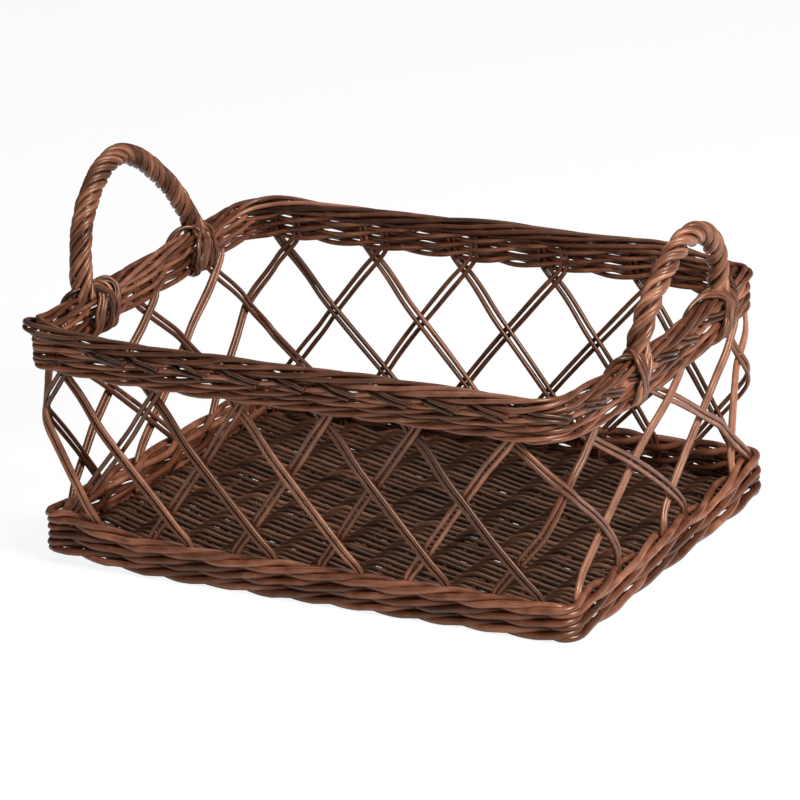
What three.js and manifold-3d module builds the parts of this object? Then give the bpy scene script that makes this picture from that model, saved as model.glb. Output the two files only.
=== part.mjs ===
// Wicker serving basket: a woven willow tray with crossed open sides and two roped handles.
// Millimetres, +Z up, front wall towards -Y, long side along X, standing on z = 0.
import * as THREE from 'three';
import { mergeVertices } from 'three/addons/utils/BufferGeometryUtils.js';
import loadManifold from 'manifold-3d';

// Outside of the woven foot and of the rim
const footLength = 400;
const footWidth = 280;
const footCornerRadius = 9;
const rimLength = 400;
const rimWidth = 286;

// Corners of the rim, each drawn round by hand
const frontLeftRadius = 9;
const frontRightRadius = 34;
const backRightRadius = 15;
const backLeftRadius = 25;

// The weave has settled: the rim stands higher at the back, and its right end has sunk
const backLift = 3.3;
const endSag = 13;
const sagMiddle = 30;
const sagReach = 220;
const sagStart = 120;
const sagRun = 70;

// Woven bands: rounds of waling in the foot and under the border
const footRounds = 3;
const rimRounds = 2;
const waleRise = 8.7;
const waleThickness = 4.8;
const rimBottom = 139.6;
const walePosts = 3;

// Rolled border: two strands twisted round each other
const borderRod = 4.6;
const borderTwistRadius = 2.9;
const borderTwists = 12;

// Stakes: pairs of thin rods that cross three times between foot and rim. On each wall, lead and tail
// reach from its corners to the first and last pair, ease reaches from the foot to the first crossing,
// and bias leans both rows of pairs to one side, in pitches.
const stakeRod = 3.3;
const stakePairGap = 0.8;
const sideStakeCount = 6;
const endStakeCount = 3;
const frontLead = 11.5;
const frontTail = 53;
const rightLead = 22;
const rightTail = 46;
const backLead = 12;
const backTail = 67;
const leftLead = 17.5;
const leftTail = 61;
const crossingCount = 3;
const crossingSpread = 1.55;
const frontEase = 19.4;
const rightEase = 22.9;
const backEase = 26.3;
const leftEase = 22.9;
const rimEase = 9.5;
const frontBias = 0.03;
const rightBias = 0.04;
const backBias = 0.1;
const leftBias = 0.05;
const stakeFootEnd = 5;

// The back wall fans out towards the rim, and the fan dies away round the next corners
const fanMiddle = 7;
const fanSpread = 0.13;
const fanMost = 18;
const fanFade = 110;

// Base: sticks that run front to back inside a close woven mat
const baseSticks = 11;
const stickRod = 6;
const stickEdge = 13;
const weaverCount = 72;
const weaverRod = 3.4;
const matThinHalf = 2;
const matUnderside = 1;

// Handles: roped arches, each tied round the rim at its two feet
const handleRope = 15;
const tieThickness = 4;
const tieWidth = 9;

const leftHandleRise = 82;
const leftHandleLean = 6;
const leftCrownOffset = 14;
const rightHandleRise = 70;
const rightHandleLean = 11;
const rightCrownOffset = 2;

// A tie's place is a share of the open rim between two posts, and its foot stands a slant further along
const leftBackTiePlace = 0.13;
const leftBackTieSlant = -1;
const leftFrontTiePlace = 0.85;
const leftFrontTieSlant = 5;
const rightFrontTiePlace = 0.54;
const rightFrontTieSlant = 13;
const rightBackTiePlace = 0.9;
const rightBackTieSlant = 20;

// Clearances between pieces that touch
const fit = 0.3;
const snug = 0.5;

// Sizes worked out from the ones above
const waleHalfHeight = (waleRise - fit) / 2;
const waleOut = stakeRod / 2 + fit + waleThickness / 2;
const bandHalf = waleOut + waleThickness / 2;
const footTop = footRounds * waleRise;
const rimWaleTop = rimBottom + rimRounds * waleRise;
const borderHalf = borderTwistRadius + borderRod / 2;
const borderMiddle = rimWaleTop + fit + borderHalf;
const rimTop = borderMiddle + borderHalf;
const pairHalfWidth = stakeRod + stakePairGap / 2;
const waleHold = pairHalfWidth + 2 * snug;
const crossingOut = (stakeRod + fit) / 2 + fit / 6;
const stakeCount = 2 * (sideStakeCount + endStakeCount);
const perimeter = 2 * (footLength + footWidth);

// Crossings: the last is level all round, and the first is lower on some walls than on others
const wallRise = rimBottom - footTop;
const crossingHalf = pairHalfWidth * crossingSpread;
const lastCrossing = rimBottom - rimEase;

// How finely round stretches are faceted
const arcStep = 6;
const rimStep = 14;
const archSteps = 22;
const ropeSides = 10;
const stickSides = 8;
const borderSides = 5;
const twistSteps = 6;
const cornerSegments = 3;
const mergeDistance = 1e-3;
const straightLimit = 1e-6;

// Finishes: stained willow, lighter where it is handled
const willow = { stakes: 0x7a4a34, wale: 0x5d3626, border: 0x66402e, base: 0x3f281e, handle: 0x94644a };

const wasm = await loadManifold();
wasm.setup();

const basket = new THREE.Group();

// Lets a piece sink or rise with the wall: nothing in the foot, all of it from the rim up
function settle(geometry) {
  const places = geometry.getAttribute('position');
  for (let i = 0; i < places.count; i += 1) {
    const share = THREE.MathUtils.clamp((places.getZ(i) - footTop) / wallRise, 0, 1);
    const across = (places.getY(i) - sagMiddle) / sagReach;
    const atEnd = THREE.MathUtils.smoothstep(places.getX(i), sagStart, sagStart + sagRun);
    const sag = endSag * atEnd * (1 - across * across);
    const lift = backLift * places.getY(i) / (rimWidth / 2);
    places.setZ(i, places.getZ(i) + share * (lift - sag));
  }
  geometry.computeVertexNormals();
}

function addPiece(name, geometry, color) {
  settle(geometry);
  const material = new THREE.MeshStandardMaterial({ color, roughness: 0.55, metalness: 0 });
  const mesh = new THREE.Mesh(geometry, material);
  mesh.name = name;
  basket.add(mesh);
}

// Half sizes of the stake line at height z, and how far up the wall that is
function wallAt(z) {
  const share = THREE.MathUtils.clamp((z - footTop) / wallRise, 0, 1);
  return {
    share,
    halfX: THREE.MathUtils.lerp(footLength, rimLength, share) / 2 - bandHalf,
    halfY: THREE.MathUtils.lerp(footWidth, rimWidth, share) / 2 - bandHalf,
  };
}

// Walls in the order front, right, back, left, counter-clockwise from above
const toRight = new THREE.Vector3(1, 0, 0);
const toLeft = new THREE.Vector3(-1, 0, 0);
const toBack = new THREE.Vector3(0, 1, 0);
const toFront = new THREE.Vector3(0, -1, 0);
const walls = [
  {
    name: 'front', along: toRight, out: toFront, length: footLength,
    radii: [frontLeftRadius, frontRightRadius], stakes: sideStakeCount, lead: frontLead, tail: frontTail,
    ease: frontEase, bias: frontBias,
  },
  {
    name: 'right', along: toBack, out: toRight, length: footWidth,
    radii: [frontRightRadius, backRightRadius], stakes: endStakeCount, lead: rightLead, tail: rightTail,
    ease: rightEase, bias: rightBias,
  },
  {
    name: 'back', along: toLeft, out: toBack, length: footLength,
    radii: [backRightRadius, backLeftRadius], stakes: sideStakeCount, lead: backLead, tail: backTail,
    ease: backEase, bias: backBias,
  },
  {
    name: 'left', along: toFront, out: toLeft, length: footWidth,
    radii: [backLeftRadius, frontLeftRadius], stakes: endStakeCount, lead: leftLead, tail: leftTail,
    ease: leftEase, bias: leftBias,
  },
];

// Wall and distance from its first corner for a distance round the foot
function onWall(round) {
  let rest = ((round % perimeter) + perimeter) % perimeter;
  let index = 0;
  while (rest >= walls[index].length && index < walls.length - 1) {
    rest -= walls[index].length;
    index += 1;
  }
  return { wall: walls[index], rest };
}

// How far the fan of the back wall carries the rim along at a distance round the foot
function fanAt(round) {
  const backStart = footLength + footWidth;
  const backEnd = backStart + footLength;
  const whole = ((round % perimeter) + perimeter) % perimeter;
  const place = THREE.MathUtils.clamp(whole, backStart, backEnd);
  const middle = (backStart + backEnd) / 2 - fanMiddle;
  const shift = THREE.MathUtils.clamp(fanSpread * (place - middle), -fanMost, fanMost);
  return shift * Math.max(0, 1 - Math.abs(whole - place) / fanFade);
}

// Point on the wall at a distance round the foot and a height, with the wall's outward direction there
function wallPoint(round, z, outBy) {
  const { share, halfX, halfY } = wallAt(z);
  const { wall, rest } = onWall(round + fanAt(round) * share * (2 - share));
  const halfAlong = wall.along.x !== 0 ? halfX : halfY;
  const halfOut = wall.along.x !== 0 ? halfY : halfX;
  const place = (2 * rest / wall.length - 1) * halfAlong;
  const radius = THREE.MathUtils.lerp(footCornerRadius, wall.radii[place < 0 ? 0 : 1], share);
  const toCorner = halfAlong - Math.abs(place);
  const turn = toCorner < radius ? (1 - toCorner / radius) * Math.PI / 4 * Math.sign(place) : 0;
  const outward = wall.out.clone().multiplyScalar(Math.cos(turn));
  outward.addScaledVector(wall.along, Math.sin(turn));
  const straight = turn === 0 ? place : (halfAlong - radius) * Math.sign(place);
  const reach = turn === 0 ? 0 : radius;
  const point = wall.out.clone().multiplyScalar(halfOut - reach).addScaledVector(wall.along, straight);
  point.addScaledVector(outward, reach + outBy);
  point.z = z;
  return { point, outward };
}

function isTurning(round, z) {
  const { outward } = wallPoint(round, z, 0);
  return Math.abs(outward.x * outward.y) > straightLimit;
}

// A stretch that turns a corner is split into short steps, a straight one into long ones
function turnSteps(from, to, z0, z1, straightStep) {
  const samples = [0, 0.25, 0.5, 0.75, 1];
  const turns = samples.some((share) => (
    isTurning(THREE.MathUtils.lerp(from, to, share), THREE.MathUtils.lerp(z0, z1, share))
  ));
  return Math.max(1, Math.ceil(Math.abs(to - from) / (turns ? arcStep : straightStep)));
}

// Solid swept along a path: section points are [across, outwards] and a loop joins its ends
function sweep(stations, section, isLoop) {
  const count = stations.length;
  const positions = [];
  stations.forEach(({ point, outward }, i) => {
    const before = stations[isLoop ? (i + count - 1) % count : Math.max(i - 1, 0)].point;
    const after = stations[isLoop ? (i + 1) % count : Math.min(i + 1, count - 1)].point;
    const arriving = point.clone().sub(before).normalize();
    const along = after.clone().sub(point).normalize().add(arriving).normalize();
    const thick = outward.clone().addScaledVector(along, -outward.dot(along)).normalize();
    const wide = new THREE.Vector3().crossVectors(thick, along);
    for (const [across, out] of section) {
      const corner = point.clone().addScaledVector(wide, across).addScaledVector(thick, out);
      positions.push(corner.x, corner.y, corner.z);
    }
  });
  const sides = section.length;
  const index = [];
  const spans = isLoop ? count : count - 1;
  for (let i = 0; i < spans; i += 1) {
    const here = i * sides;
    const next = ((i + 1) % count) * sides;
    for (let j = 0; j < sides; j += 1) {
      const k = (j + 1) % sides;
      index.push(here + j, here + k, next + k, here + j, next + k, next + j);
    }
  }
  if (!isLoop) {
    const outline = section.map(([across, out]) => new THREE.Vector2(across, out));
    const last = (count - 1) * sides;
    for (const [a, b, c] of THREE.ShapeUtils.triangulateShape(outline, [])) {
      index.push(a, c, b);
      index.push(last + a, last + b, last + c);
    }
  }
  const geometry = new THREE.BufferGeometry();
  geometry.setAttribute('position', new THREE.Float32BufferAttribute(positions, 3));
  geometry.setIndex(index);
  geometry.computeVertexNormals();
  return geometry;
}

function roundSection(diameter, sides) {
  const turnStep = 2 * Math.PI / sides;
  return Array.from({ length: sides }, (_, i) => [
    diameter / 2 * Math.cos(i * turnStep),
    diameter / 2 * Math.sin(i * turnStep),
  ]);
}

// Manifold solid of a closed geometry, and back again
function toSolid(geometry) {
  const bare = new THREE.BufferGeometry();
  bare.setAttribute('position', geometry.getAttribute('position'));
  bare.setIndex(geometry.getIndex());
  const merged = mergeVertices(bare, mergeDistance);
  return new wasm.Manifold(new wasm.Mesh({
    numProp: 3,
    vertProperties: new Float32Array(merged.getAttribute('position').array),
    triVerts: new Uint32Array(merged.getIndex().array),
  }));
}

function toGeometry(solid) {
  const mesh = solid.getMesh();
  const geometry = new THREE.BufferGeometry();
  geometry.setAttribute('position', new THREE.Float32BufferAttribute(mesh.vertProperties, 3));
  geometry.setIndex(Array.from(mesh.triVerts));
  geometry.computeVertexNormals();
  return geometry;
}

// Distance round the foot of a stake step: steps 0 to 17 are the right-leaning pairs, in order
const stepPlaces = [];
let wallStart = 0;
for (const { name, length, stakes: count, lead, tail } of walls) {
  const pitch = (length - lead - tail) / (count - 1);
  for (let i = 0; i < count; i += 1) {
    stepPlaces.push({ round: wallStart + lead + i * pitch, wall: name, number: i + 1 });
  }
  wallStart += length;
}

function roundAtStep(step) {
  const whole = Math.floor(step);
  const turn = Math.floor(whole / stakeCount);
  const from = stepPlaces[whole - turn * stakeCount].round;
  const nextIndex = whole + 1 - turn * stakeCount;
  const to = nextIndex < stakeCount ? stepPlaces[nextIndex].round : stepPlaces[0].round + perimeter;
  return turn * perimeter + from + (step - whole) * (to - from);
}

// Every stake pair: where it leaves the foot, where it meets the rim and which way it crosses.
// A pair travels as many pitches round the wall as its crossings need.
const stakes = [];
stepPlaces.forEach(({ wall, number }, i) => {
  const { ease, bias } = walls.find(({ name }) => name === wall);
  const crossingRise = (lastCrossing - footTop - ease) / (crossingCount - 1);
  const lean = wallRise / crossingRise / 2;
  const low = i + ease / crossingRise;
  stakes.push({ name: `${wall}_stakes_rising_right_${number}`, low: i, high: i + lean - bias, side: -1 });
  stakes.push({ name: `${wall}_stakes_rising_left_${number}`, low, high: low - lean - bias, side: 1 });
});

// A pair keeps to one face of the wall at every crossing but the last, where it changes over
const lowestCrossing = footTop + Math.min(...walls.map(({ ease }) => ease));
const highestMiddle = (footTop + Math.max(...walls.map(({ ease }) => ease)) + lastCrossing) / 2;
function stakeStations({ low, high, side }) {
  const bends = [
    [stakeFootEnd, 0],
    [footTop, 0],
    [lowestCrossing - crossingHalf, side],
    [highestMiddle + crossingHalf, side],
    [lastCrossing - crossingHalf, -side],
    [lastCrossing + crossingHalf, -side],
    [rimBottom + fit, 0],
    [rimWaleTop - snug, 0],
  ];
  const stations = [];
  bends.forEach(([z, out], i) => {
    const [lastZ, lastOut] = bends[Math.max(i - 1, 0)];
    const from = placeAt(low, high, lastZ);
    const steps = i === 0 ? 1 : turnSteps(from, placeAt(low, high, z), lastZ, z, Infinity);
    for (let j = 1; j <= steps; j += 1) {
      const share = j / steps;
      const height = THREE.MathUtils.lerp(lastZ, z, share);
      const outBy = THREE.MathUtils.lerp(lastOut, out, share) * crossingOut;
      stations.push(wallPoint(placeAt(low, high, height), height, outBy));
    }
  });
  return stations;
}

function placeAt(low, high, z) {
  const share = THREE.MathUtils.clamp((z - footTop) / wallRise, 0, 1);
  return roundAtStep(THREE.MathUtils.lerp(low, high, share));
}

// Two rods side by side: an outline with a groove down the middle of both faces
const rodCentre = (stakeRod + stakePairGap) / 2;
const grooveHalf = stakeRod / 6;
const stakeSection = [
  [-pairHalfWidth, 0],
  [-rodCentre, -stakeRod / 2],
  [0, -grooveHalf],
  [rodCentre, -stakeRod / 2],
  [pairHalfWidth, 0],
  [rodCentre, stakeRod / 2],
  [0, grooveHalf],
  [-rodCentre, stakeRod / 2],
];
for (const stake of stakes) {
  addPiece(stake.name, sweep(stakeStations(stake), stakeSection, false), willow.stakes);
}

// Spans of the wall that one stroke of waling has to clear, in order round the basket
function footPosts() {
  return stakes
    .map(({ low }) => roundAtStep(low))
    .map((round) => ({ from: round - waleHold, to: round + waleHold }))
    .sort((a, b) => a.from - b.from);
}

// At the rim the two pairs that have just crossed stand close together and count as one post
function rimPosts() {
  return stepPlaces.map((_, i) => {
    const partner = i + crossingCount - 1;
    const lap = Math.floor(partner / stakeCount);
    const risingRight = stakes[2 * i];
    const risingLeft = stakes[2 * (partner - lap * stakeCount) + 1];
    const tops = [roundAtStep(risingRight.high), roundAtStep(risingLeft.high + lap * stakeCount)];
    return { from: Math.min(...tops) - waleHold, to: Math.max(...tops) + waleHold };
  });
}

// One round of waling: behind one post in three and in front of the rest, a post later in each round
function waleStations(posts, z, phase, straightStep) {
  const knots = [];
  posts.forEach(({ from, to }, i) => {
    const outBy = (i + phase) % walePosts === 0 ? -waleOut : waleOut;
    const middle = (from + to) / 2;
    const places = isTurning(middle, z) ? [from, middle, to] : [from, to];
    places.forEach((round) => knots.push({ round, outBy }));
  });
  knots.push({ round: knots[0].round + perimeter, outBy: knots[0].outBy });
  const stations = [];
  knots.slice(1).forEach((next, i) => {
    const knot = knots[i];
    const steps = turnSteps(knot.round, next.round, z, z, straightStep);
    for (let j = 0; j < steps; j += 1) {
      const round = THREE.MathUtils.lerp(knot.round, next.round, j / steps);
      stations.push(wallPoint(round, z, THREE.MathUtils.lerp(knot.outBy, next.outBy, j / steps)));
    }
  });
  return stations;
}

// Section of a round of waling: flat underneath, rounded on top
const waleFlat = waleThickness / 3;
const waleShoulder = waleHalfHeight / 5;
const waleSection = [
  [-waleHalfHeight, -waleFlat],
  [waleShoulder, -waleThickness / 2],
  [waleHalfHeight, 0],
  [waleShoulder, waleThickness / 2],
  [-waleHalfHeight, waleFlat],
];
for (let i = 0; i < footRounds; i += 1) {
  const stations = waleStations(footPosts(), i * waleRise + waleHalfHeight, i, Infinity);
  addPiece(`foot_wale_round_${i + 1}`, sweep(stations, waleSection, true), willow.wale);
}
for (let i = 0; i < rimRounds; i += 1) {
  const stations = waleStations(rimPosts(), rimBottom + i * waleRise + waleHalfHeight, i, rimStep);
  addPiece(`rim_wale_round_${i + 1}`, sweep(stations, waleSection, true), willow.wale);
}

// Border strands: a twisted pair that closes on itself round the top of the rim
const borderSteps = twistSteps * borderTwists;
for (const strand of [1, 2]) {
  const stations = [];
  for (let i = 0; i < borderSteps; i += 1) {
    const angle = 2 * Math.PI * (borderTwists * i / borderSteps + strand / 2);
    const z = borderMiddle + borderTwistRadius * Math.sin(angle);
    stations.push(wallPoint(perimeter * i / borderSteps, z, borderTwistRadius * Math.cos(angle)));
  }
  const rod = sweep(stations, roundSection(borderRod, borderSides), true);
  addPiece(`border_strand_${strand}`, rod, willow.border);
}

// Base mat: weavers that pass over one stick and under the next, all joined into one slab
const matInset = bandHalf + snug;
const matHalfX = footLength / 2 - bandHalf - matInset;
const matHalfY = footWidth / 2 - bandHalf - matInset;
const channelRadius = stickRod / 2 + fit;
const weaverTop = channelRadius + weaverRod;
const besideWeaver = channelRadius + snug;
const matMiddle = matUnderside + weaverTop;
const stickPitch = 2 * (matHalfX - stickEdge) / (baseSticks - 1);
const stickPlaces = Array.from({ length: baseSticks }, (_, i) => stickEdge - matHalfX + i * stickPitch);

// Columns of the mat lie at its ends, on every stick and half way between two sticks
function matColumns() {
  const columns = [{ x: -matHalfX }];
  stickPlaces.forEach((x, stick) => {
    if (stick > 0) {
      columns.push({ x: x - stickPitch / 2 });
    }
    columns.push({ x, stick });
  });
  columns.push({ x: matHalfX });
  return columns;
}

// Rows of the mat lie on every weaver, and the outer ones reach its edge
function matRows() {
  const rowPitch = 2 * matHalfY / weaverCount;
  const rows = Array.from({ length: weaverCount }, (_, weaver) => (
    { y: (weaver + 0.5) * rowPitch - matHalfY, weaver }
  ));
  return [{ ...rows[0], y: -matHalfY }, ...rows, { ...rows[weaverCount - 1], y: matHalfY }];
}

// Half the mat's thickness on its upper or lower face: a weaver over the stick, or the dip beside it
function matHalfHeight({ stick }, { weaver }, face) {
  if (stick === undefined) {
    return matThinHalf;
  }
  const weaverFace = (stick + weaver) % 2 === 0 ? 1 : -1;
  return weaverFace === face ? weaverTop : besideWeaver;
}

function stickGeometry(x, diameter, halfLength) {
  const ends = [-halfLength, halfLength].map((y) => ({
    point: new THREE.Vector3(x, y, matMiddle),
    outward: new THREE.Vector3(0, 0, 1),
  }));
  return sweep(ends, roundSection(diameter, stickSides), false);
}

function matGeometry() {
  const columns = matColumns();
  const rows = matRows();
  const slab = new THREE.BoxGeometry(1, 1, 1, columns.length - 1, rows.length - 1, 1);
  const places = slab.getAttribute('position');
  for (let i = 0; i < places.count; i += 1) {
    const column = columns[Math.round((places.getX(i) + 0.5) * (columns.length - 1))];
    const row = rows[Math.round((places.getY(i) + 0.5) * (rows.length - 1))];
    const face = Math.sign(places.getZ(i));
    places.setXYZ(i, column.x, row.y, matMiddle + face * matHalfHeight(column, row, face));
  }
  const corner = footCornerRadius;
  const outline = new THREE.Shape();
  outline.moveTo(corner - matHalfX, -matHalfY);
  outline.lineTo(matHalfX - corner, -matHalfY);
  outline.absarc(matHalfX - corner, corner - matHalfY, corner, -Math.PI / 2, 0);
  outline.absarc(matHalfX - corner, matHalfY - corner, corner, 0, Math.PI / 2);
  outline.absarc(corner - matHalfX, matHalfY - corner, corner, Math.PI / 2, Math.PI);
  outline.absarc(corner - matHalfX, corner - matHalfY, corner, Math.PI, 1.5 * Math.PI);
  const blockDepth = 4 * weaverTop;
  const block = new THREE.ExtrudeGeometry(outline, {
    depth: blockDepth, bevelEnabled: false, curveSegments: cornerSegments,
  });
  block.translate(0, 0, matMiddle - blockDepth / 2);
  let solid = toSolid(slab).intersect(toSolid(block));
  for (const x of stickPlaces) {
    solid = solid.subtract(toSolid(stickGeometry(x, 2 * channelRadius, matHalfY + snug)));
  }
  return toGeometry(solid);
}
addPiece('base_mat', matGeometry(), willow.base);

stickPlaces.forEach((x, i) => {
  const stick = stickGeometry(x, stickRod, matHalfY - fit);
  addPiece(`base_stick_${String(i + 1).padStart(2, '0')}`, stick, willow.base);
});

// A tie: a flat band closed round the rim, slanting from the handle's foot to its place under the rim
function tieGeometry(foot, place) {
  const inner = new THREE.Vector2(bandHalf + snug, rimTop + snug);
  const floor = rimBottom - snug;
  const outer = new THREE.Vector2(inner.x + tieThickness, inner.y + tieThickness);
  const ground = floor - tieThickness;
  const bevel = tieThickness / 2;
  const band = new THREE.Shape([
    new THREE.Vector2(-outer.x, ground + bevel),
    new THREE.Vector2(-outer.x + bevel, ground),
    new THREE.Vector2(outer.x - bevel, ground),
    new THREE.Vector2(outer.x, ground + bevel),
    new THREE.Vector2(outer.x, outer.y - bevel),
    new THREE.Vector2(outer.x - bevel, outer.y),
    new THREE.Vector2(-outer.x + bevel, outer.y),
    new THREE.Vector2(-outer.x, outer.y - bevel),
  ]);
  band.holes.push(new THREE.Path([
    new THREE.Vector2(-inner.x, floor),
    new THREE.Vector2(-inner.x, inner.y),
    new THREE.Vector2(inner.x, inner.y),
    new THREE.Vector2(inner.x, floor),
  ]));
  const tie = new THREE.ExtrudeGeometry(band, { depth: tieWidth, bevelEnabled: false });
  tie.rotateX(Math.PI / 2);
  const slant = (foot - place) / (inner.y - floor);
  tie.applyMatrix4(new THREE.Matrix4().makeShear(0, 0, 0, 0, 0, slant));
  tie.translate(0, place - slant * floor + tieWidth / 2, 0);
  return tie;
}

// A handle: an arch of rope whose rods are tied round the rim at both feet
function handleGeometry(wallName, rise, lean, crownOffset, ties) {
  const wall = walls.find(({ name }) => name === wallName);
  const { along, out } = wall;
  const posts = rimPosts().filter(({ from }) => onWall(from).wall === wall);
  const seats = ties.map(({ place, slant }, i) => {
    const open = THREE.MathUtils.lerp(posts[i].to, posts[i + 1].from, place);
    const tie = wallPoint(open, rimBottom, 0).point.y;
    return { tie, foot: tie + slant * along.y };
  });
  const base = rimTop + 3 * snug;
  const centre = (seats[0].foot + seats[1].foot) / 2;
  const half = (seats[1].foot - seats[0].foot) / 2;
  const archRise = rise - handleRope / 2;
  const stations = [];
  for (let i = 0; i <= archSteps; i += 1) {
    const angle = Math.PI * i / archSteps;
    const lift = Math.sin(angle);
    const y = centre - half * Math.cos(angle) - crownOffset * lift;
    const point = new THREE.Vector3(out.x * lean * lift, y, base + archRise * lift);
    stations.push({ point, outward: toRight });
  }
  let solid = toSolid(sweep(stations, roundSection(handleRope, ropeSides), false));
  for (const { tie, foot } of seats) {
    solid = solid.add(toSolid(tieGeometry(foot, tie)));
  }
  return toGeometry(solid).translate(out.x * (rimLength / 2 - bandHalf), 0, 0);
}
const leftTies = [
  { place: leftBackTiePlace, slant: leftBackTieSlant },
  { place: leftFrontTiePlace, slant: leftFrontTieSlant },
];
const rightTies = [
  { place: rightFrontTiePlace, slant: rightFrontTieSlant },
  { place: rightBackTiePlace, slant: rightBackTieSlant },
];
const leftHandle = handleGeometry('left', leftHandleRise, leftHandleLean, leftCrownOffset, leftTies);
const rightHandle = handleGeometry('right', rightHandleRise, rightHandleLean, rightCrownOffset, rightTies);
addPiece('left_handle', leftHandle, willow.handle);
addPiece('right_handle', rightHandle, willow.handle);

// The origin lies under the middle of the whole basket, handles included
const overall = new THREE.Box3().setFromObject(basket);
basket.position.x = -(overall.min.x + overall.max.x) / 2;
basket.position.y = -(overall.min.y + overall.max.y) / 2;

export default basket;
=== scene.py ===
# Woven willow serving basket: crossed open walls, close base, rolled border and two roped handles
import bpy
import bmesh
import math
import random
from mathutils import Matrix, Vector


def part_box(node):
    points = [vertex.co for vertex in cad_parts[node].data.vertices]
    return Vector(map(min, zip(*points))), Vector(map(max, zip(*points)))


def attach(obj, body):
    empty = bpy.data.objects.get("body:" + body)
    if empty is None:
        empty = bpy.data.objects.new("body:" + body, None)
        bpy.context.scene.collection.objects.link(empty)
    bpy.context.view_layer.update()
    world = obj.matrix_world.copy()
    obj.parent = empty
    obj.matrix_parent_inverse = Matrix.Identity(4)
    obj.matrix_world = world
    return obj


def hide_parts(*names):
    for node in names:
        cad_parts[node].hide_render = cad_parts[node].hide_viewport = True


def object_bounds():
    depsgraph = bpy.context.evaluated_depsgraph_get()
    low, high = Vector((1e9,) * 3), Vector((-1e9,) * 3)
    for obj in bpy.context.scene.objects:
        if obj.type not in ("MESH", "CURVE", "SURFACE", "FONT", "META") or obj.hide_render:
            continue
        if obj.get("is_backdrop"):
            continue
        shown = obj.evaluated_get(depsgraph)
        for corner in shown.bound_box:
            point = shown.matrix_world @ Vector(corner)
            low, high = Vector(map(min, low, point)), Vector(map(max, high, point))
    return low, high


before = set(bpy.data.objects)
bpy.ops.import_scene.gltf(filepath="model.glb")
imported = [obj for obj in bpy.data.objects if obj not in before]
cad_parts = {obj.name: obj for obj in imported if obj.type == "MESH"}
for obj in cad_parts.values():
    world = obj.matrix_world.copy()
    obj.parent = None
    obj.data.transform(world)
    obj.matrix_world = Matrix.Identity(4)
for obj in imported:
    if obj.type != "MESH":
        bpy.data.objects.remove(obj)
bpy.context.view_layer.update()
scene = bpy.context.scene
mm = 0.001
dice = random.Random(11)
print("frame loaded:", len(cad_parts), "nodes")

# The plan that everything is woven to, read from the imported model
footLow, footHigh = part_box("foot_wale_round_1")
rimLow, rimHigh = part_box("rim_wale_round_1")
centre = (footLow + footHigh) / 2
footSize = footHigh - footLow
rimSize = rimHigh - rimLow

wallShape = {
    "halfBand": 6.75 * mm,          # stake line to the outside of a woven band
    "footTop": 26.1 * mm, "rimBottom": 139.6 * mm, "waleTop": 157 * mm, "rimTop": 167.7 * mm,
    "tightest": 0.8 * mm,
    # front left, front right, back right, back left
    "footCorners": [2 * mm, 8 * mm, 8 * mm, 6 * mm], "rimCorners": [9 * mm, 26 * mm, 11 * mm, 25 * mm],
}
# Made by hand: the rim stands higher at the back and sags at the right end, and the walls follow it
settling = {
    "backLift": 3.3 * mm, "endSag": 13 * mm, "sagMiddle": 30 * mm, "sagReach": 180 * mm,
    "sagStart": 120 * mm, "sagRun": 70 * mm,
    # the front left corner lifts off the ground
    "cornerLift": 7 * mm, "cornerAlong": 55 * mm, "cornerAcross": 150 * mm, "cornerAtRim": 0.6,
    # the foot band is looser at the left and the back
    "bandGrow": 0.26, "growFrom": 75 * mm, "growRun": 60 * mm,
    # the back wall opens upwards
    "fanMiddle": 7 * mm, "fanSpread": 0.13, "fanMost": 18 * mm, "fanFade": 110 * mm,
}
footTop, rimBottom, waleTop, rimTop = (wallShape[key] for key in ("footTop", "rimBottom", "waleTop", "rimTop"))
wallNames = ["front", "right", "back", "left"]              # counter-clockwise from above
wallAlong = [Vector((1, 0, 0)), Vector((0, 1, 0)), Vector((-1, 0, 0)), Vector((0, -1, 0))]
wallOut = [Vector((0, -1, 0)), Vector((1, 0, 0)), Vector((0, 1, 0)), Vector((-1, 0, 0))]
wallLength = [footSize.x, footSize.y, footSize.x, footSize.y]
perimeter = sum(wallLength)


def mix(a, b, share):
    return a + (b - a) * share


def clamp(value):
    return min(max(value, 0), 1)


def ease(share):
    return share * share * (3 - 2 * share)


# A smooth curve through a list of stops, at a share of the way from one stop to the next
def curveThrough(stops, span, share, loop=False):
    last = len(stops) - 1
    picks = [(span + k) % len(stops) if loop else min(max(span + k, 0), last) for k in (-1, 0, 1, 2)]
    a, b, c, d = (stops[k] for k in picks)
    return tuple(0.5 * (2 * q + (r - p) * share + (2 * p - 5 * q + 4 * r - s) * share ** 2
                        + (3 * q - p - 3 * r + s) * share ** 3) for p, q, r, s in zip(a, b, c, d))


# How far the warped base lifts the front left corner off the ground
def cornerLift(x, y):
    along = (x + footSize.x / 2) / settling["cornerAlong"]
    across = (y + footSize.y / 2) / settling["cornerAcross"]
    return settling["cornerLift"] * math.exp(-along * along - across * across)


# Put a point of the level basket where the settled basket has it; the stakes don't follow the loose foot band
def settle(x, y, z, loose=True):
    share = clamp((z - footTop) / (rimBottom - footTop))
    across = (y - settling["sagMiddle"]) / settling["sagReach"]
    atEnd = ease(clamp((x - settling["sagStart"]) / settling["sagRun"]))
    sag = settling["endSag"] * atEnd * (1 - across * across)
    lift = settling["backLift"] * y / (rimSize.y / 2)
    if loose:
        toSide = min(footSize.x / 2 + x, footSize.y / 2 - y)
        grow = settling["bandGrow"] * ease(clamp((settling["growFrom"] - toSide) / settling["growRun"]))
        z += grow * min(z, footTop) * (1 - share)
    z += cornerLift(x, y) * mix(1, settling["cornerAtRim"], share)
    return Vector((x + centre.x, y + centre.y, z + share * (lift - sag)))


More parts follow.
